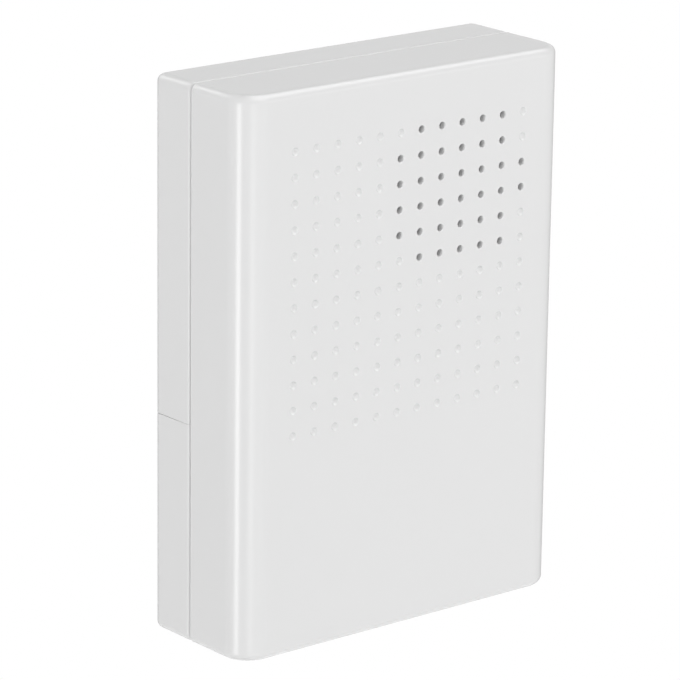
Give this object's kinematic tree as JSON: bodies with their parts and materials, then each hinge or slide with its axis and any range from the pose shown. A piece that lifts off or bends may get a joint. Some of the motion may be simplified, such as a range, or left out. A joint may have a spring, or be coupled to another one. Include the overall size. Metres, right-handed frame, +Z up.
{
  "type": "doorbell chime box",
  "caption": "White wall-hung doorbell chime box with a field of speaker holes on its front and a sliding battery cover at the rear.",
  "frame": {"origin": "centre of the rear face, on the wall plane, at mid-height of the case", "axes": "+Z up, +Y into the wall, the front looks along -Y, +X to the right seen from the front"},
  "size_m": [0.09, 0.032, 0.1254],
  "materials": {
    "case_abs": "satin white injection-moulded ABS",
    "screw_steel": "zinc-plated steel",
    "plated_steel": "zinc-plated pressed steel",
    "gasket_foam": "closed-cell foam",
    "cone_film": "formed polyester film",
    "coil_copper": "enamelled copper wire on a paper former",
    "ferrite": "sintered ferrite",
    "phenolic": "paper phenolic laminate",
    "brass": "bare brass",
    "chip_epoxy": "black potting epoxy",
    "capacitor_sleeve": "shrunk PVC sleeve",
    "resistor_lacquer": "beige lacquer",
    "terminal_polyamide": "natural polyamide",
    "contact_nickel": "nickel-plated spring steel",
    "cell_jacket": "plain printed jacket on a steel can",
    "red_pvc": "PVC insulation",
    "black_pvc": "PVC insulation",
    "blue_pvc": "PVC insulation"
  },
  "bodies": {
    "case": {"front_cover": "case_abs", "rear_case": "case_abs", "battery_tray": "case_abs", "case_screws": "screw_steel", "speaker_gasket": "gasket_foam", "speaker_basket": "plated_steel", "speaker_top_plate": "plated_steel", "speaker_magnet": "ferrite", "speaker_yoke": "plated_steel", "speaker_tag_board": "phenolic", "speaker_lugs": "brass", "speaker_clamps": "plated_steel", "clamp_screws": "screw_steel", "circuit_board": "phenolic", "board_screws": "screw_steel", "melody_chip": "chip_epoxy", "large_capacitor": "capacitor_sleeve", "small_capacitor": "capacitor_sleeve", "transistor": "chip_epoxy", "resistors": "resistor_lacquer", "terminal_block": "terminal_polyamide", "terminal_inserts": "brass", "terminal_fixing_screw": "screw_steel", "positive_contact": "contact_nickel", "negative_contact": "contact_nickel", "link_contact_left": "contact_nickel", "link_contact_right": "contact_nickel", "cell_springs": "contact_nickel", "cell_upper": "cell_jacket", "cell_middle": "cell_jacket", "cell_lower": "cell_jacket", "speaker_lead_red": "red_pvc", "speaker_lead_black": "black_pvc", "battery_lead_red": "red_pvc", "battery_lead_black": "black_pvc", "bell_lead_upper": "blue_pvc", "bell_lead_lower": "blue_pvc"},
    "cover": {"battery_cover": "case_abs"},
    "diaphragm": {"speaker_cone": "cone_film", "speaker_surround": "cone_film", "dust_cap": "cone_film", "voice_coil": "coil_copper"},
    "upper_terminal_screw": {"terminal_screw_upper": "screw_steel"},
    "lower_terminal_screw": {"terminal_screw_lower": "screw_steel"}
  },
  "joints": [
    {"name": "battery_cover_slide", "type": "slide", "parent": "case", "child": "cover", "axis": [0, 0, -1], "range_m": [0, 0.05]},
    {"name": "diaphragm_travel", "type": "slide", "parent": "case", "child": "diaphragm", "axis": [0, -1, 0], "range_m": [-0.0005, 0.0005], "stiffness_N_per_m": 500},
    {"name": "upper_terminal_turn", "type": "hinge", "parent": "case", "child": "upper_terminal_screw", "pos_m": [-0.03025, -0.0138, -0.03585], "axis": [0, 1, 0], "continuous": true},
    {"name": "lower_terminal_turn", "type": "hinge", "parent": "case", "child": "lower_terminal_screw", "pos_m": [-0.03025, -0.0138, -0.04585], "axis": [0, 1, 0], "continuous": true}
  ]
}
